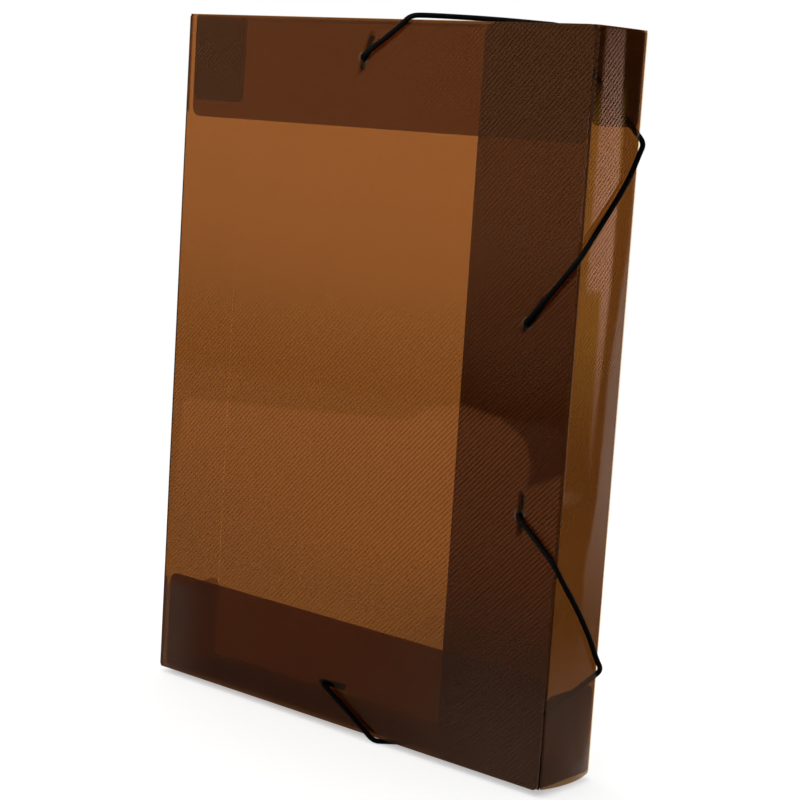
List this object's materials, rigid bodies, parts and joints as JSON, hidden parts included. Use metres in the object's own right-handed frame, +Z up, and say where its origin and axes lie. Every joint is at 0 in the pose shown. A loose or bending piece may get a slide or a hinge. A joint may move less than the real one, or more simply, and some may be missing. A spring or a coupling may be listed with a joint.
{
  "type": "elastic box file",
  "caption": "Flat upright box file of translucent tinted polypropylene with a hinged front cover, inner laps and corner elastics.",
  "frame": {"origin": "centre of the box's outer size on the surface it stands on", "axes": "+X from the spine to the open side, +Y from the front cover to the back, +Z up"},
  "size_m": [0.2484, 0.0453, 0.3401],
  "materials": {
    "box_sheet": "translucent smoke brown polypropylene sheet with fine slanted embossed ribs, glossy",
    "crease": "pressed score line in the same sheet, slightly lighter",
    "elastic": "black braided round elastic cord",
    "end_bar": "dark moulded cord end, satin"
  },
  "bodies": {
    "tray": {"back_panel": "box_sheet", "top_wall": "box_sheet", "bottom_wall": "box_sheet", "top_spine_tab": "box_sheet", "top_side_tab": "box_sheet", "bottom_spine_tab": "box_sheet", "bottom_side_tab": "box_sheet", "back_spine_crease": "crease", "back_side_crease": "crease", "back_top_crease": "crease", "back_bottom_crease": "crease", "top_lap_crease": "crease", "bottom_lap_crease": "crease", "top_spine_tab_crease": "crease", "top_side_tab_crease": "crease", "bottom_spine_tab_crease": "crease", "bottom_side_tab_crease": "crease"},
    "spine": {"spine_wall": "box_sheet", "spine_cover_crease": "crease"},
    "cover": {"front_cover": "box_sheet", "upper_elastic": "elastic", "lower_elastic": "elastic", "upper_top_end_bar": "end_bar", "upper_side_end_bar": "end_bar", "lower_side_end_bar": "end_bar", "lower_bottom_end_bar": "end_bar"},
    "open_side": {"side_wall": "box_sheet", "side_lap_crease": "crease"},
    "side_flap": {"side_lap": "box_sheet"},
    "top_flap": {"top_lap": "box_sheet"},
    "bottom_flap": {"bottom_lap": "box_sheet"}
  },
  "joints": [
    {"name": "spine_fold", "type": "hinge", "parent": "tray", "child": "spine", "pos_m": [-0.12387, 0.0197, 0.00255], "axis": [0, 0, -1], "range_deg": [0, 90]},
    {"name": "cover_hinge", "type": "hinge", "parent": "spine", "child": "cover", "pos_m": [-0.12387, -0.0197, 0.00255], "axis": [0, 0, -1], "range_deg": [0, 90], "deforming": ["upper_elastic", "lower_elastic"]},
    {"name": "side_wall_fold", "type": "hinge", "parent": "tray", "child": "open_side", "pos_m": [0.12052, 0.0197, 0.00255], "axis": [0, 0, 1], "range_deg": [0, 90]},
    {"name": "side_lap_hinge", "type": "hinge", "parent": "open_side", "child": "side_flap", "pos_m": [0.12052, -0.0176, 0.00255], "axis": [0, 0, 1], "range_deg": [0, 90]},
    {"name": "top_lap_hinge", "type": "hinge", "parent": "tray", "child": "top_flap", "pos_m": [0, -0.0168, 0.33725], "axis": [1, 0, 0], "range_deg": [0, 45]},
    {"name": "bottom_lap_hinge", "type": "hinge", "parent": "tray", "child": "bottom_flap", "pos_m": [0, -0.0168, 0.00285], "axis": [-1, 0, 0], "range_deg": [0, 45]}
  ],
  "couplings": [
    {"joint": "spine_fold", "follows": "cover_hinge", "ratio": 1},
    {"joint": "side_wall_fold", "follows": "cover_hinge", "ratio": 1},
    {"joint": "side_lap_hinge", "follows": "cover_hinge", "ratio": 1}
  ]
}
